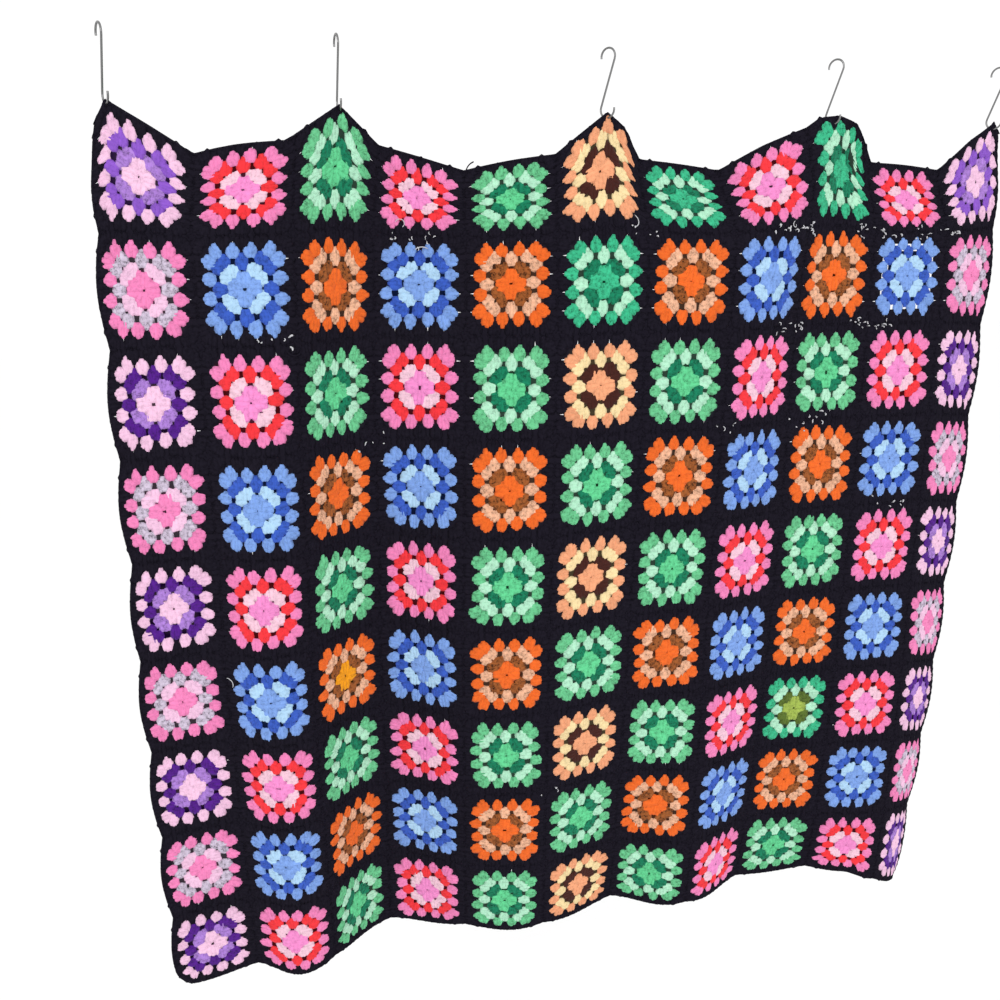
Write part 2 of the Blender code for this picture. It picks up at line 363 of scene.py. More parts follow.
def linear(shade):
    """A shade's red, green and blue as amounts of light: the inverse of the screen's own curve."""
    return AS_SEEN * ((np.array(SHADES[shade]) / 255 + 0.055) / 1.055) ** 2.4


# ---------------------------------------------------------------- stitches

# A cluster of three posts, in squares from the middle of its own square: how far out its foot and its
# head are, and how far along the side. One off the middle is worked again on the side's other half,
# and those nearest the diagonal pair up with the next side's as a corner.
Cluster = namedtuple("Cluster", "round foot_out foot_along head_out head_along half_width")
CLUSTERS = (
    Cluster(1, 0.010, 0.000, 0.158, 0.000, 0.092),
    Cluster(2, 0.098, 0.094, 0.222, 0.098, 0.078),
    Cluster(3, 0.178, 0.000, 0.320, 0.000, 0.070),
    Cluster(3, 0.192, 0.180, 0.314, 0.180, 0.073),
    Cluster(4, 0.278, 0.090, 0.412, 0.090, 0.070),
    Cluster(4, 0.268, 0.246, 0.406, 0.272, 0.074),
    Cluster(5, 0.356, 0.000, 0.496, 0.000, 0.082),
    Cluster(5, 0.356, 0.180, 0.496, 0.184, 0.082),
    Cluster(5, 0.385, 0.365, 0.494, 0.400, 0.084),
)
ROUND_THICKNESS = (1.02, 0.92, 1.08, 1.20, 0.95)  # the thicker ones lie over the others where they meet
# Each round's brightness; the fourth round's is lowered as painted shade, for the darker edges of its
# heads.
ROUND_TONES_AND_SHADE = np.array((1.0, 0.97, 1.0, 0.95, 1.0))
HALF_THICK = 0.0020  # of a post
POST_WIDTH = 0.50  # a post's half width, as a share of its cluster's
POST_SIDES = np.array((-1.0, 0.0, 1.0))
FOOT_SPREAD = 0.5  # how far the outer posts' feet are from the middle one's, as a share of the belly's
HEAD_SPREAD = 0.85
# How much lower the outer posts' heads are than the middle one's, in squares, on each side of a square
# in the first row and in the fifth, with the rows between in step. Only the third and fourth rounds
# are drawn to points like this, most in the upper rows and where the heads point up.
Side = namedtuple("Side", "name first_row fifth_row")
SIDES = (
    Side("right", 0.030, 0.012),
    Side("hem", 0.028, 0.006),
    Side("left", 0.024, 0.010),
    Side("top", 0.032, 0.026),
)
PEAKED_ROUNDS = (3, 4)
# Where each station is along a post, and its width there: it swells from its foot to its head.
ALONG = np.array((0.0, 0.16, 0.50, 0.84, 1.0))
POST = np.array((0.60, 0.90, 1.0, 1.0, 0.62))
BLACK_ALONG = np.array((0.0, 0.30, 0.80, 1.0))
BLACK_POST = np.array((0.55, 0.95, 1.0, 0.55))
UNEVEN = 0.007  # how far a cluster strays, in squares
POST_UNEVEN = np.array((0.002, 0.002, 0.006))  # how far each post's foot, bend and head stray besides
UNEVEN_WIDTH = 0.08
ROUGH = 0.0016  # how far each point of a post's outline strays, in squares
SQUARE_SHIFT = 0.010  # how far a square's middle strays, in squares
SQUARE_TURN = radians(2.0)
CLUSTER_TONES = (0.96, 1.03)  # the range of a cluster's brightness
POST_TONES = (0.98, 1.02)  # and of each of its posts besides

SEAM_STITCHES = 14  # along each side of a square
SEAM_LENGTH = 0.050
SEAM_HALF_WIDTH = 0.013
SEAM_HALF_THICK = 0.0024
SEAM_SLANT = 0.9  # radians
EDGE_STITCHES = 12  # along a side on the cloth's free edge
EDGE_LENGTH = 0.12
EDGE_HALF_WIDTH = 0.020
EDGE_IN = 0.018  # from the edge to the middle of its stitches
SHORT_STATIONS = ((0.0, 0.35), (0.5, 1.0), (1.0, 0.35))

# The rounds next to the top and right edges are drawn together, by this much at EDGE_ROUND in from the
# edge and by less both ways from there, to none at the edge and one square in.
TOP_DRAWN = 0.045
TOP_DRAWN_FROM = 1.5  # columns over which it comes in
RIGHT_DRAWN = 0.028
EDGE_ROUND = 0.12

HOOK_GAP = 0.018  # the yarn parts this far from the middle of each wire, in squares
HOOK_REACH = 0.07

chance = np.random.default_rng(7)


def oval(sides):
    """A plain ring with this many corners, the first of them at its front."""
    angles = pi / 2 + 2 * pi * np.arange(sides) / sides
    return np.stack((np.cos(angles), np.sin(angles)), axis=-1)


def square_posts(row):
    """The posts of one square as arrays of clusters by posts: the clusters' rounds and half widths, and
    the foot, bend and head of each post's path. The three run side by side from foot to head, the
    outer ones bowed out to the cluster's full width halfway. The clusters are laid out on the
    right-hand side and turned by quarter turns to the others."""
    mirrored = [c._replace(foot_along=-c.foot_along, head_along=-c.head_along) for c in CLUSTERS]
    clusters = CLUSTERS + tuple(c for c in mirrored if c.head_along)
    rounds = np.array([c.round for c in clusters])
    half_width = np.array([c.half_width for c in clusters])
    foot = np.array([(c.foot_out, c.foot_along) for c in clusters])
    head = np.array([(c.head_out, c.head_along) for c in clusters])
    axis = (head - foot) / np.linalg.norm(head - foot, axis=1, keepdims=True)
    aside = np.stack((-axis[:, 1], axis[:, 0]), axis=-1)[:, None] * POST_SIDES[:, None]
    spread = aside * (half_width * (1 - POST_WIDTH))[:, None, None]
    foot = foot[:, None] + spread * FOOT_SPREAD
    level = head[:, None] + spread * HEAD_SPREAD
    made = []
    for quarter, side in enumerate(SIDES):
        step = np.interp(row, (1, 5), side[1:]) * np.isin(rounds, PEAKED_ROUNDS)[:, None, None]
        head = level + axis[:, None] * step * (0.5 - np.abs(POST_SIDES)[:, None])
        halfway = (foot + head) / 2 + spread * (1 - (FOOT_SPREAD + HEAD_SPREAD) / 2)
        bend = 2 * halfway - (foot + head) / 2
        angle = quarter * pi / 2
        turn = np.array(((cos(angle), sin(angle)), (-sin(angle), cos(angle))))
        made.append(np.stack((foot, bend, head), axis=2) @ turn)
    return np.tile(rounds, 4), np.tile(half_width, 4), np.concatenate(made)


def strayed(points, shift, turn):
    """A square's points moved and turned a little about its middle, and less so towards its border,
    where it is joined."""
    inside = 1 - np.clip(np.abs(points).max(axis=-1, keepdims=True) / 0.5, 0, 1) ** 4
    turned = np.stack((-points[..., 1], points[..., 0]), axis=-1) * turn
    return points + inside * (shift + turned)


def drawn(columns, rows):
    """Points of the flat layout where they lie once the edges are drawn together."""
    from_edge = (0, EDGE_ROUND, 1)
    top = TOP_DRAWN * np.clip(columns / TOP_DRAWN_FROM, 0, 1)
    rows = rows - top * np.interp(rows, from_edge, (0, 1, 0))
    columns = columns + RIGHT_DRAWN * np.interp(COLUMNS - columns, from_edge, (0, 1, 0))
    return columns, rows


def hook_row(hook):
    """The row where a hook's wire goes through: the cloth there is as high as the bottom of its lower
    bend."""
    below_rail = -HUNG[:FINE, round(hook.column * FINE), 2]
    return np.interp(BENDS_APART + BEND, below_rail, np.arange(FINE) / FINE)


def parted(columns, rows):
    """The yarn drawn aside round each hook's wire: within reach, a point moves straight away from the
    wire, so that none is left inside the gap."""
    for hook in HOOKS:
        across, down = columns - hook.column, rows - hook_row(hook)
        far = np.hypot(across, down)
        near = np.clip(1 - far / HOOK_REACH, 0, 1)
        push = HOOK_GAP * near / np.maximum(far, 1e-4)
        columns = columns + across * push
        rows = rows + down * push
    return columns, rows


Tubes = namedtuple("Tubes", "columns rows lifts half_widths half_thicks colours flecks")


def tube_mesh(name, tubes, ring, rough, material):
    """Closed tubes along paths on the cloth, as one mesh: round each station of a path runs the ring,
    as wide as half_widths across the path and half_thicks out of the cloth, its points straying by
    rough. Each ring is joined to the next and the end rings are filled. The UV map gives every tube
    a field of its own."""
    count, stations = tubes.columns.shape
    sides = len(ring)
    path = np.stack((tubes.columns, tubes.rows), axis=-1)
    line = np.gradient(path, axis=1)
    line = line / np.linalg.norm(line, axis=-1, keepdims=True)
    aside = tubes.half_widths[..., None] * ring[:, 0]
    columns = tubes.columns[..., None] - line[..., 1:] * aside
    rows = tubes.rows[..., None] + line[..., :1] * aside
    lifts = tubes.lifts[..., None] + tubes.half_thicks[..., None] * ring[:, 1]
    stray = chance.normal(0, rough, (2,) + columns.shape)
    columns, rows = parted(*drawn(columns + stray[0], rows + stray[1]))
    points = place(columns, rows, lifts).reshape(-1, 3)

    corner = np.arange(sides)
    after = (corner + 1) % sides
    step = np.arange(stations - 1)[:, None] * sides
    quads = np.stack((step + corner, step + after, step + after + sides, step + corner + sides), axis=-1)
    quads = quads.reshape(-1, 4)
    caps = np.stack((corner[::-1], corner + (stations - 1) * sides))
    first = (np.arange(count) * stations * sides)[:, None, None]
    loops = np.concatenate(((first + quads).reshape(count, -1), (first + caps).reshape(count, -1)), axis=1)
    sizes = np.tile(np.array([4] * len(quads) + [sides] * 2), count)

    # One tube's own UVs: its wall across the middle of its field, its two ends above and below.
    share = np.linspace(0, 1, stations)
    corner_turn = np.stack((corner, corner + 1, corner + 1, corner), axis=-1) / sides
    corner_turn = np.broadcast_to(corner_turn, (stations - 1, sides, 4)).reshape(-1)
    low, high = share[:-1, None], share[1:, None]
    corner_share = np.stack((low, low, high, high), axis=-1) * np.ones((1, sides, 1))
    corner_share = corner_share.reshape(-1)
    cap_turn = 0.5 + 0.4 * ring[:, 0]
    cap_share = 0.5 + 0.4 * ring[:, 1]
    field = np.concatenate(
        (
            np.stack((corner_turn, 0.15 + 0.7 * corner_share), axis=-1),
            np.stack((cap_turn[::-1], 0.12 * cap_share[::-1]), axis=-1),
            np.stack((cap_turn, 0.88 + 0.12 * cap_share), axis=-1),
        )
    )
    across = int(np.ceil(np.sqrt(count)))
    start = np.stack((np.arange(count) % across, np.arange(count) // across), axis=-1)
    bake = (start[:, None] + 0.06 + 0.88 * field) / across

    mesh = filled_mesh(name, points, loops.ravel(), sizes)
    put_uv(mesh, "OFBake", bake)
    put_colours(mesh, np.repeat(tubes.colours, stations * sides, axis=0))
    put_flecks(mesh, np.repeat(tubes.flecks, stations * sides))
    return shown(name, mesh, material)


def filled_mesh(name, points, loops, sizes):
    """A mesh of whole arrays: its points, the points round each face one after another, and how many
    each face has."""
    mesh = bpy.data.meshes.new(name)
    mesh.vertices.add(len(points))
    mesh.vertices.foreach_set("co", np.ascontiguousarray(points, np.float32).ravel())
    mesh.loops.add(len(loops))
    mesh.loops.foreach_set("vertex_index", loops.astype(np.int32))
    mesh.polygons.add(len(sizes))
    starts = np.concatenate(([0], np.cumsum(sizes)[:-1])).astype(np.int32)
    mesh.polygons.foreach_set("loop_start", starts)
    mesh.update(calc_edges=True)
    mesh.shade_smooth()
    return mesh


def put_uv(mesh, name, places):
    layer = mesh.uv_layers.new(name=name)
    layer.uv.foreach_set("vector", np.ascontiguousarray(places, np.float32).ravel())


def put_colours(mesh, colours):
    layer = mesh.color_attributes.new("yarn_colour", "FLOAT_COLOR", "POINT")
    full = np.concatenate((colours, np.ones((len(colours), 1))), axis=1)
    layer.data.foreach_set("color", full.astype(np.float32).ravel())


def put_flecks(mesh, flecks):
    layer = mesh.attributes.new("flecks", "FLOAT", "POINT")
    layer.data.foreach_set("value", flecks.astype(np.float32))


def shown(name, mesh, material):
    mesh.materials.append(material)
    piece = bpy.data.objects.new(name, mesh)
    bpy.context.scene.collection.objects.link(piece)
    return piece


def row_posts(row):
    """The posts of one row of squares: those of the four coloured rounds, and the black round's.
    Each path is a quadratic curve from its foot, drawn towards its bend, to its head."""
    rounds, half_width, paths = square_posts(row)
    count, posts = paths.shape[:2]
    shift = chance.uniform(-SQUARE_SHIFT, SQUARE_SHIFT, (COLUMNS, 1, 1, 1, 2))
    turn = chance.uniform(-SQUARE_TURN, SQUARE_TURN, (COLUMNS, 1, 1, 1, 1))
    stray = chance.normal(0, UNEVEN, (COLUMNS, count, 1, 1, 2))
    stray = stray + chance.normal(0, 1, (COLUMNS, count, posts, 3, 2)) * POST_UNEVEN[:, None]
    stray = stray * (rounds < 5)[:, None, None, None]
    middle = np.stack((np.arange(COLUMNS) + 0.5, np.full(COLUMNS, row - 0.5)), axis=-1)
    points = strayed(paths + stray, shift, turn) + middle[:, None, None, None]
    foot, bend, head = np.moveaxis(points, 3, 0)[..., None, :]
    uneven = chance.uniform(1 - UNEVEN_WIDTH, 1 + UNEVEN_WIDTH, (COLUMNS, count, posts))
    half_width = POST_WIDTH * half_width[:, None] * uneven
    tone = chance.uniform(*CLUSTER_TONES, (COLUMNS, count, 1))
    tone = tone * chance.uniform(*POST_TONES, (COLUMNS, count, posts)) * ROUND_TONES_AND_SHADE[rounds - 1][:, None]
    kinds = [KINDS[kind_of(row, column + 1)] + ("black",) for column in range(COLUMNS)]
    colours = np.array([[linear(shade) for shade in kind] for kind in kinds])
    flecks = np.array([[HEATHERED.get(shade, PLAIN) for shade in kind] for kind in kinds])
    made = []
    for wanted, along, widths in ((rounds < 5, ALONG, POST), (rounds == 5, BLACK_ALONG, BLACK_POST)):
        t = along[:, None]
        path = foot[:, wanted] * (1 - t) ** 2 + bend[:, wanted] * 2 * t * (1 - t) + head[:, wanted] * t**2
        chosen = rounds[wanted] - 1
        shape = (COLUMNS * wanted.sum() * posts, len(along))
        thick = HALF_THICK * np.array(ROUND_THICKNESS)[chosen][:, None, None] * np.sqrt(widths)
        made.append(
            Tubes(
                path[..., 0].reshape(shape),
                path[..., 1].reshape(shape),
                np.zeros(shape),
                (half_width[:, wanted][..., None] * widths).reshape(shape),
                np.broadcast_to(thick, (COLUMNS, wanted.sum(), posts, len(along))).reshape(shape),
                (colours[:, chosen][:, :, None] * tone[:, wanted][..., None]).reshape(-1, 3),
                np.repeat(flecks[:, chosen].ravel(), posts),
            )
        )
    return made


def short_stitches(columns, rows, slants, lengths, half_width):
    """Short black stitches, each at its middle's column and row and slanting from the rows'
    direction."""
    along, width = np.array(SHORT_STATIONS).T
    reach = (along - 0.5) * lengths[:, None]
    shape = reach.shape
    return Tubes(
        columns[:, None] + reach * np.cos(slants)[:, None],
        rows[:, None] + reach * np.sin(slants)[:, None],
        np.zeros(shape),
        np.broadcast_to(half_width * width, shape),
        np.broadcast_to(SEAM_HALF_THICK * np.sqrt(width), shape),
        np.broadcast_to(linear("black"), (len(columns), 3)),
        np.full(len(columns), HEATHERED["black"]),
    )


def seam_stitches():
    """Slanting whip stitches across every seam between two squares."""
    spots = (np.arange(SEAM_STITCHES) + 0.5) / SEAM_STITCHES
    level_columns = np.tile((np.arange(COLUMNS)[:, None] + spots).ravel(), ROWS - 1)
    level_rows = np.repeat(np.arange(1.0, ROWS), COLUMNS * SEAM_STITCHES)
    upright_rows = np.tile((np.arange(ROWS)[:, None] + spots).ravel(), COLUMNS - 1)
    upright_columns = np.repeat(np.arange(1.0, COLUMNS), ROWS * SEAM_STITCHES)
    columns = np.concatenate((level_columns, upright_columns))
    slants = chance.normal(SEAM_SLANT, 0.15, len(columns))
    slants = slants + np.where(np.arange(len(columns)) < len(level_columns), 0, pi / 2)
    lengths = SEAM_LENGTH * chance.uniform(0.9, 1.1, len(columns))
    rows = np.concatenate((level_rows, upright_rows))
    return short_stitches(columns, rows, slants, lengths, SEAM_HALF_WIDTH)


def edge_stitches():
    """The tops of the last round's stitches, one after another along the cloth's free edges."""
    across = (np.arange(COLUMNS * EDGE_STITCHES) + 0.5) / EDGE_STITCHES
    down = (np.arange(1, ROWS * EDGE_STITCHES - 1) + 0.5) / EDGE_STITCHES
    left, right = np.full(len(down), EDGE_IN), np.full(len(down), COLUMNS - EDGE_IN)
    top, hem = np.full(len(across), EDGE_IN), np.full(len(across), ROWS - EDGE_IN)
    columns = np.concatenate((across, across, left, right))
    rows = np.concatenate((top, hem, down, down))
    slants = np.where(np.arange(len(columns)) < 2 * len(across), 0, pi / 2)
    slants = slants + chance.normal(0, 0.06, len(columns))
    lengths = EDGE_LENGTH * chance.uniform(0.9, 1.1, len(columns))
    return short_stitches(columns, rows, slants, lengths, EDGE_HALF_WIDTH)


# Yarn ends and fluff left loose on the front: where each starts, the way it heads (degrees from the
# row direction, down is positive), its length and how much it curls, in squares.
Tail = namedtuple("Tail", "column row heading length curl half_width shade")
TAILS = (
    Tail(0.90, 0.03, -60, 0.14, 0.7, 0.0085, "black"),
    Tail(3.46, 0.03, -50, 0.06, 0.3, 0.0120, "black"),
    Tail(4.02, 0.03, -90, 0.12, 0.6, 0.0085, "black"),
    Tail(4.10, 0.06, -35, 0.08, 0.6, 0.0085, "black"),
    Tail(2.06, 2.02, 100, 0.22, 0.9, 0.0085, "black"),
    Tail(3.28, 0.92, 30, 0.22, -1.9, 0.0050, "pale_fluff"),
    Tail(3.44, 1.18, -70, 0.16, 0.7, 0.0060, "pale_fluff"),
    Tail(0.98, 5.30, -60, 0.16, 1.2, 0.0045, "pale_fluff"),
    Tail(5.82, 0.98, 20, 0.16, -1.2, 0.0045, "pale_fluff"),
    Tail(7.76, 0.94, 40, 0.14, 2.0, 0.0040, "pale_fluff"),
)
TAIL_STATIONS = 9

# Places where short pale ends of yarn stick out along the joins, each with its half length along the
# row and how many there are.
Fluff = namedtuple("Fluff", "column row reach count")
FLUFF = (
    Fluff(3.40, 1.04, 0.26, 12),
    Fluff(5.90, 1.00, 0.20, 6),
    Fluff(7.80, 1.00, 0.35, 18),
    Fluff(9.05, 1.02, 0.30, 18),
    Fluff(9.85, 1.00, 0.30, 14),
    Fluff(7.85, 2.02, 0.25, 12),
    Fluff(9.00, 2.00, 0.30, 18),
    Fluff(1.70, 1.95, 0.25, 6),
    Fluff(8.30, 3.00, 0.30, 10),
    Fluff(3.00, 3.00, 0.20, 5),
    Fluff(7.00, 3.00, 0.20, 5),
    Fluff(5.00, 7.00, 0.20, 4),
    Fluff(9.60, 4.00, 0.30, 8),
)
FLUFF_DOWN = 0.045  # spread across the row
FLUFF_LENGTHS = (0.015, 0.055)
FLUFF_HALF_WIDTHS = (0.004, 0.009)
CURL_TURN = 0.8 * pi  # how far a path of curl 1 turns from end to end
TAIL_LIFT = 0.0035  # above the cloth's middle


def yarn_tails():
    """Loose ends: each path's direction turns evenly by its curl from its heading, and it lies on the
    stitches; it is round, and thins at its tip. The fluff's are short, at random."""
    tails = list(TAILS)
    for spot in FLUFF:
        across = chance.uniform(-spot.reach, spot.reach, spot.count)
        down = chance.normal(0, FLUFF_DOWN, spot.count)
        headings = chance.uniform(-180, 180, spot.count)
        lengths = chance.uniform(*FLUFF_LENGTHS, spot.count)
        widths = chance.uniform(*FLUFF_HALF_WIDTHS, spot.count)
        for a, d, heading, length, width in zip(across, down, headings, lengths, widths):
            tails.append(Tail(spot.column + a, spot.row + d, heading, length, 1.0, width, "pale_fluff"))
    share = np.linspace(0, 1, TAIL_STATIONS)
    heading = np.radians([tail.heading for tail in tails])[:, None]
    curl = np.array([tail.curl for tail in tails])[:, None]
    half_width = np.array([tail.half_width for tail in tails])[:, None]
    step = np.array([tail.length for tail in tails])[:, None] / (TAIL_STATIONS - 1)
    way = heading + curl * CURL_TURN * np.arange(1, TAIL_STATIONS + 1) / TAIL_STATIONS
    columns = np.array([tail.column for tail in tails])[:, None] + np.cumsum(step * np.cos(way), axis=1)
    rows = np.array([tail.row for tail in tails])[:, None] + np.cumsum(step * np.sin(way), axis=1)
    thin = np.where(share < 1, 1.0, 0.5) * np.where(share > 0, 1.0, 0.6) + 0 * columns
    return Tubes(
        columns,
        rows,
        TAIL_LIFT * np.clip(3 * share, 0, 1) + 0 * columns,
        half_width * thin,
        half_width * SQUARE * thin,
        np.array([linear(tail.shade) for tail in tails]),
        np.zeros(len(tails)),
    )


# ---------------------------------------------------------------- the ground between the clusters

GROUND_HALF_THICK = 0.0006
TIP_SLOTS = ((0.083, 0.096), (0.260, 0.273))  # where the fourth round's tips end, along a side
SLOT_DEPTHS = (0.406, 0.448)  # and out from the middle
LOOSE_TO = 0.37  # how far out the gap round a loose square's third round reaches
GROUND_LINES = (*TIP_SLOTS[0], *TIP_SLOTS[1], LOOSE_TO, *SLOT_DEPTHS, 0.5)  # from a square's middle
ON_LINE = 1e-4  # a point this near a line lies on it
SLOT_NARROWS = 0.0055  # how much each side of a slot draws in towards its outer end
SLOTS_OPEN = ((1.5, 2.5, 3.5, 5.0), (0.80, 0.50, 0.16, 0.03))  # rows, and the share open there
COLOURED_TO = 0.33  # the ground is in the rounds' own shades as far out as this
PAINTED_GAP_SHADE = 0.06  # and this bright: painted shade, the rounds' own shades darkened where the gaps between the clusters lie in shadow
SHADES_CHANGE = (0.1, 0.2, 0.3)  # how far out the first three rounds' shades reach there
LOOSE_SQUARES = ((2, 10),)  # row and column of those with nothing between the third and fourth rounds


def cloth_ground():
    """The thin sheet of yarn between the clusters, closed front and back: cells between the ground's lines
    in every square. Within the coloured rounds it is painted shade, their own shades darkened for the
    shadowed gaps between the clusters; further out it is black. The small cells at the tips of the fourth
    round narrow outwards. They are left open where the joins are drawn apart, most in the upper rows, and
    each opening is walled."""
    half = np.array(GROUND_LINES)
    lines = np.concatenate((-half[::-1], (0.0,), half)) + 0.5
    columns = np.unique(np.round(np.arange(COLUMNS)[:, None] + lines, 6))
    rows = np.unique(np.round(np.arange(ROWS)[:, None] + lines, 6))
    middle_columns = (columns[1:] + columns[:-1]) / 2
    middle_rows = (rows[1:] + rows[:-1]) / 2
    off_across = np.abs(middle_columns % 1 - 0.5)[None, :]
    off_down = np.abs(middle_rows % 1 - 0.5)[:, None]

    def in_slot(off):
        return np.any([(off > low) & (off < high) for low, high in TIP_SLOTS], axis=0)

    def deep(off):
        return (off > SLOT_DEPTHS[0]) & (off < SLOT_DEPTHS[1])

    def at_depth(out):
        return np.abs(np.abs(out) - SLOT_DEPTHS[1]) < ON_LINE

    def narrowed(out):
        starts = np.any([np.abs(np.abs(out) - low) < ON_LINE for low, high in TIP_SLOTS], axis=0)
        ends = np.any([np.abs(np.abs(out) - high) < ON_LINE for low, high in TIP_SLOTS], axis=0)
        return SLOT_NARROWS * np.sign(out) * (starts * 1.0 - ends)

    openings = (deep(off_across) & in_slot(off_down)) | (deep(off_down) & in_slot(off_across))
    open_share = np.interp(middle_rows, *SLOTS_OPEN)[:, None] * (0.5 + 0.05 * middle_columns[None, :])
    off = np.maximum(off_across, off_down)
    least = np.minimum(off_across, off_down)
    corner_from, gap_from = TIP_SLOTS[1]
    between = (off > gap_from) & (off < LOOSE_TO) & (least < corner_from)
    loose = np.zeros(openings.shape, bool)
    for row, column in LOOSE_SQUARES:
        here = (middle_columns > column - 1) & (middle_columns < column)
        loose |= between & here & ((middle_rows > row - 1) & (middle_rows < row))[:, None]
    luck = chance.random(openings.shape)
    kept = ~((openings & (luck < open_share)) | loose)

    grid_columns, grid_rows = np.meshgrid(columns, rows)
    out_across, out_down = grid_columns % 1 - 0.5, grid_rows % 1 - 0.5
    moved_across = narrowed(out_across) * at_depth(out_down)
    moved_down = narrowed(out_down) * at_depth(out_across)
    laid_out = ((grid_columns + moved_across).ravel(), (grid_rows + moved_down).ravel())
    flat = drawn(*laid_out)
    front = place(*flat, np.full(grid_columns.size, GROUND_HALF_THICK))
    back = place(*flat, np.full(grid_columns.size, -GROUND_HALF_THICK))
    number = np.arange(grid_columns.size).reshape(grid_columns.shape)
    under = number + grid_columns.size

    i, j = np.nonzero(kept)
    faces = [
        np.stack((number[i, j], number[i + 1, j], number[i + 1, j + 1], number[i, j + 1]), axis=-1),
        np.stack((under[i, j], under[i, j + 1], under[i + 1, j + 1], under[i + 1, j]), axis=-1),
    ]
    edged = np.pad(kept, 1).astype(int)
    rise = np.diff(edged, axis=0)[:, 1:-1]
    run = np.diff(edged, axis=1)[1:-1, :]
    for change, ahead in ((rise, (0, 1)), (run, (1, 0))):
        for sense in (1, -1):
            i, j = np.nonzero(change == sense)
            a, b = number[i, j], number[i + ahead[0], j + ahead[1]]
            c, d = under[i + ahead[0], j + ahead[1]], under[i, j]
            turned = sense if ahead[1] else -sense
            wall = (a, b, c, d) if turned > 0 else (d, c, b, a)
            faces.append(np.stack(wall, axis=-1))
    quads = np.concatenate(faces)

    points = np.concatenate((front, back))
    mesh = filled_mesh("black_ground", points, quads.ravel(), np.full(len(quads), 4))
    across, down = np.tile(grid_columns.ravel() / COLUMNS, 2), np.tile(grid_rows.ravel() / ROWS, 2)
    half_sheet = np.repeat((0.0, 0.5), grid_columns.size)
    where = np.stack((0.005 + 0.99 * across, half_sheet + 0.005 + 0.49 * (1 - down)), axis=-1)
    put_uv(mesh, "OFBake", where[quads.ravel()])
    out = np.maximum(np.abs(laid_out[0] % 1 - 0.5), np.abs(laid_out[1] % 1 - 0.5))
    colours = np.tile(linear("black"), (grid_columns.size, 1))
    column_of = np.clip(laid_out[0].astype(int), 0, COLUMNS - 1)
    row_of = np.clip(laid_out[1].astype(int), 0, ROWS - 1)
    shades = np.array(
        [[[linear(s) for s in KINDS[kind_of(r + 1, c + 1)]] for c in range(COLUMNS)] for r in range(ROWS)]
    )
    ring = np.searchsorted(SHADES_CHANGE, out)
    # Painted shade: near the middle the ground takes its round's shade, darkened, for the shadowed gaps
    # between the clusters.
    own = shades[row_of, column_of, ring] * PAINTED_GAP_SHADE
    colours = np.where((out < COLOURED_TO)[:, None], own, colours)
    put_colours(mesh, np.tile(colours, (2, 1)))
    put_flecks(mesh, np.zeros(2 * grid_columns.size))
    return mesh


# ---------------------------------------------------------------- finishes


class Value:
    """A socket of a material's nodes. Sums, differences and products with numbers or with each other
    add the Math nodes that work them out."""

    def __init__(self, finish, socket):
        self.finish = finish
        self.socket = socket

    def maths(self, operation, *parts):
        return self.finish.add("ShaderNodeMath", {"operation": operation}, dict(enumerate(parts)))["Value"]

    def __add__(self, other):
        return self.maths("ADD", self, other)

    def __sub__(self, other):
        return self.maths("SUBTRACT", self, other)

    def __rsub__(self, other):
        return self.maths("SUBTRACT", other, self)

    def __mul__(self, other):
        return self.maths("MULTIPLY", self, other)

    __radd__ = __add__
    __rmul__ = __mul__

    def held(self):
        """Itself, held between 0 and 1."""
        return self.maths("MINIMUM", self.maths("MAXIMUM", self, 0.0), 1.0)


class Finish:
    """A material and its nodes. constants are the shader's own plain values, by socket name."""

    def __init__(self, name, constants):
        self.material = bpy.data.materials.new(name)
        self.material.use_nodes = True
        self.tree = self.material.node_tree
        self.shader = self.tree.nodes["Principled BSDF"]
        for socket, value in constants.items():
            self.shader.inputs[socket].default_value = value

    def add(self, kind, settings, sockets):
        """Adds a node: first its settings, then a number or a link for each socket. Gives its outputs
        by name."""
        node = self.tree.nodes.new(kind)
        for setting, value in settings.items():
            setattr(node, setting, value)
        for socket, value in sockets.items():
            self.feed(node.inputs[socket], value)
        return {output.name: Value(self, output) for output in node.outputs if output.enabled}

    def feed(self, socket, value):
        if isinstance(value, Value):
            self.tree.links.new(value.socket, socket)
        else:
            socket.default_value = value

    def noise(self, scale, detail, roughness):
        """Noise in the object's own space; scale is in waves per metre."""
        where = self.add("ShaderNodeTexCoord", {}, {})["Object"]
        sockets = {"Vector": where, "Scale": scale, "Detail": detail, "Roughness": roughness}
        made = self.add("ShaderNodeTexNoise", {"noise_dimensions": "3D"}, sockets)
        return next(iter(made.values()))

    def bump(self, height, distance):
        sockets = {"Height": height, "Distance": distance, "Strength": 1.0}
        self.feed(self.shader.inputs["Normal"], self.add("ShaderNodeBump", {}, sockets)["Normal"])


FLECK_WIDTH = 0.07  # how near the middle of its noise a fleck starts
MOST_LIGHT = 1.22  # the palest fleck's brightness, as a share of the stitch's own; the pale flecks are partly painted highlight
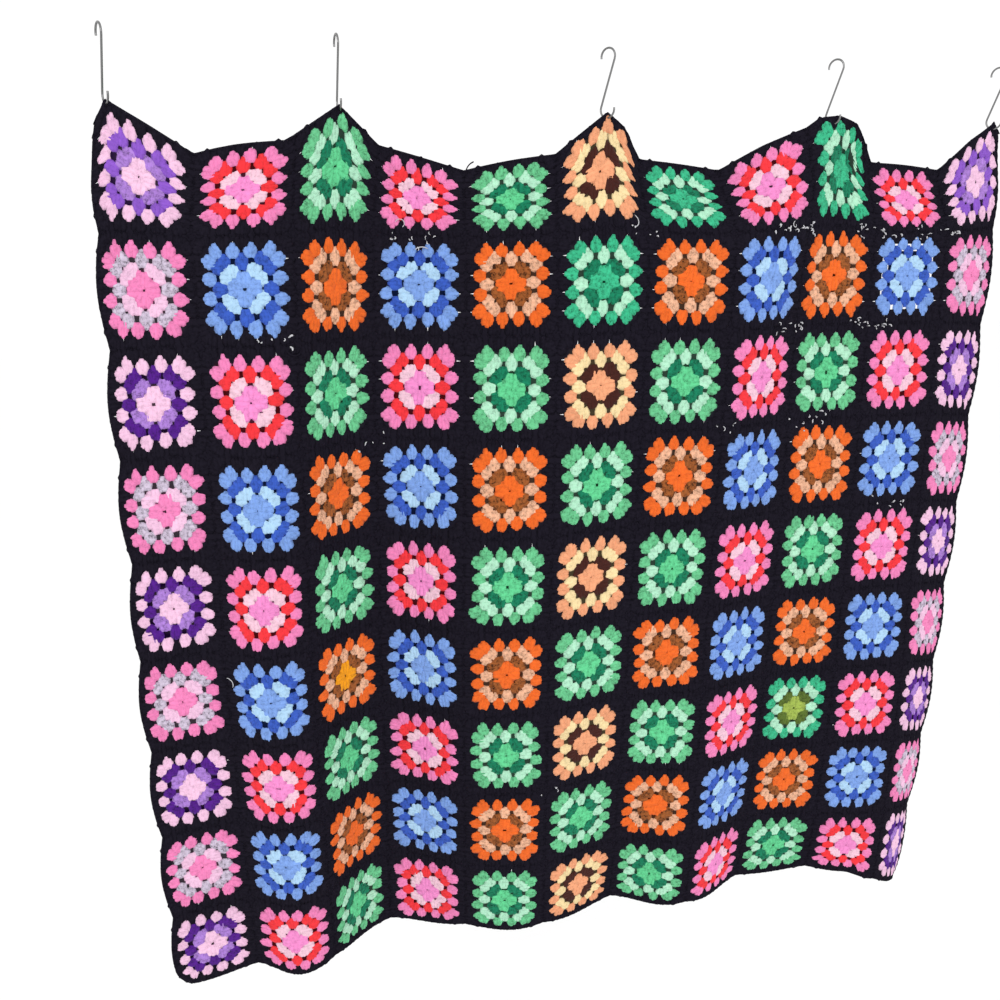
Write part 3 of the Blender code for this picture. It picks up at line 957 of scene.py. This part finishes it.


def wool(name, specular, sheen, relief):
    """Worsted yarn: the stitch's own colour with fine curling flecks, dark and pale, the more so where it
    is heathered.
    A fleck lies where a fine noise passes its middle value, between the tufts of a broader one: curl =
    clip(1 - |fine -
    0.5| / FLECK_WIDTH), and it is dark by curl * clip(5 * (tufts - 0.42)) and pale by curl * clip(5 *
    (0.44 - tufts)).
    The pale flecks are partly pale fibres and partly painted highlight, the light caught on the yarn's
    fuzz. The palest is held to MOST_LIGHT."""
    finish = Finish(
        name,
        {
            "Roughness": 0.95,
            "Specular IOR Level": specular,
            "Sheen Weight": sheen,
            "Sheen Roughness": 0.6,
        },
    )
    colour = finish.add("ShaderNodeAttribute", {"attribute_name": "yarn_colour"}, {})["Color"]
    flecks = finish.add("ShaderNodeAttribute", {"attribute_name": "flecks"}, {})["Fac"]
    fine = finish.noise(300.0, 2.0, 0.5)
    tufts = finish.noise(210.0, 2.0, 0.5)
    off = fine - 0.5
    off = off.maths("ABSOLUTE", off)
    curl = (1.0 - off * (1 / FLECK_WIDTH)).held()
    patchy = ((tufts - 0.42) * 5.0).held()
    # Pale flecks: partly pale fibres, partly painted highlight on the yarn's fuzz.
    pale = ((0.44 - tufts) * 5.0).held() * curl
    light = 1.0 - curl * patchy * (0.12 + 0.68 * flecks) - (tufts - 0.5) * (0.20 + 0.8 * flecks)
    light = light + 0.25 * pale * flecks
    light = light.maths("MINIMUM", light, MOST_LIGHT)
    scaled = finish.add("ShaderNodeVectorMath", {"operation": "SCALE"}, {"Vector": colour, "Scale": light})
    finish.feed(finish.shader.inputs["Base Color"], scaled["Vector"])
    finish.bump(0.5 * fine + 0.8 * tufts, relief)
    return finish.material


def plated_wire():
    """Bright plated wire: fine drawing lines, and dull patches where it has been handled."""
    finish = Finish("plated_wire", {"Base Color": (0.20, 0.20, 0.20, 1), "Metallic": 1.0})
    dull = finish.noise(120.0, 3.0, 0.6)
    lines = finish.noise(2600.0, 2.0, 0.5)
    finish.feed(finish.shader.inputs["Roughness"], 0.16 + 0.22 * dull)
    finish.bump(lines, 0.00003)
    return finish.material


# ---------------------------------------------------------------- making it

coloured_wool = wool("coloured_wool", 0.10, 0.05, 0.0004)
black_wool = wool("black_wool", 0.03, 0.0, 0.0004)

rows_made = [row_posts(row) for row in range(1, ROWS + 1)]
pieces = []
for row, (coloured, black) in enumerate(rows_made, 1):
    for name, slot, tubes, ring, rough, material in (
        ("coloured_rounds_row_%d", "coloured_wool", coloured, oval(5), ROUGH, coloured_wool),
        ("black_round_row_%d", "black_wool", black, oval(5), 0.0, black_wool),
    ):
        piece = tube_mesh(name % row, tubes, ring, rough, material)
        pieces.append(piece)
for name, tubes, sides in (
    ("black_seams", seam_stitches(), 4),
    ("black_edges", edge_stitches(), 6),
    ("loose_ends", yarn_tails(), 6),
):
    piece = tube_mesh(name, tubes, oval(sides), 0.0, black_wool)
    pieces.append(piece)

ground = shown("black_ground", cloth_ground(), black_wool)
for piece in [ground] + pieces:
    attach(piece, "root")
    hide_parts("blanket")

steel = plated_wire()
for hook in HOOKS:
    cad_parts[hook.name].data.materials.clear()
    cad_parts[hook.name].data.materials.append(steel)

# ---------------------------------------------------------------- studio

FLOOR_DROP = 0.9  # floor below the hem
FLOOR_SIZE = 40.0

floor_mesh = filled_mesh(
    "floor",
    np.array(((-1, -1, 0), (1, -1, 0), (1, 1, 0), (-1, 1, 0))) * FLOOR_SIZE / 2
    + np.array((0, 0, cad_box[0][2] - FLOOR_DROP)),
    np.arange(4),
    np.array([4]),
)
pale = Finish("pale_floor", {"Base Color": (0.97, 0.97, 0.97, 1), "Roughness": 0.9})
floor = shown("floor", floor_mesh, pale.material)

world = bpy.data.worlds.new("studio")
world.use_nodes = True
world.node_tree.nodes["Background"].inputs["Color"].default_value = (1.0, 1.0, 1.0, 1)
world.node_tree.nodes["Background"].inputs["Strength"].default_value = 1.04
bpy.context.scene.world = world


def softbox(name, where, aim, size, watts):
    lamp = bpy.data.lights.new(name, "AREA")
    lamp.size = size
    lamp.energy = watts
    holder = bpy.data.objects.new(name, lamp)
    holder.location = where
    holder.rotation_euler = (Vector(aim) - Vector(where)).to_track_quat("-Z", "Y").to_euler()
    bpy.context.scene.collection.objects.link(holder)


softbox("key", (-1.6, -2.6, 1.2), (0, 0, -0.6), 1.8, 24)
softbox("fill", (2.2, -2.4, -0.2), (0, 0, -0.6), 2.4, 8)

CAMERA_PLACE = (-0.5055, -1.1818, -0.2287)
CAMERA_YAW = 0.2947  # to the right of straight at the cloth
CAMERA_DOWN = 0.2558
CAMERA_ROLL = -0.0130
CAMERA_LENS = 34.43

lens = bpy.data.cameras.new("camera")
lens.lens = CAMERA_LENS
lens.clip_start = 0.05
camera = bpy.data.objects.new("camera", lens)
turned = Matrix.Rotation(-CAMERA_YAW, 4, "Z") @ Matrix.Rotation(pi / 2 - CAMERA_DOWN, 4, "X")
camera.matrix_world = Matrix.Translation(CAMERA_PLACE) @ turned @ Matrix.Rotation(CAMERA_ROLL, 4, "Z")
bpy.context.scene.collection.objects.link(camera)
bpy.context.scene.camera = camera
bpy.context.scene.view_settings.view_transform = "Standard"
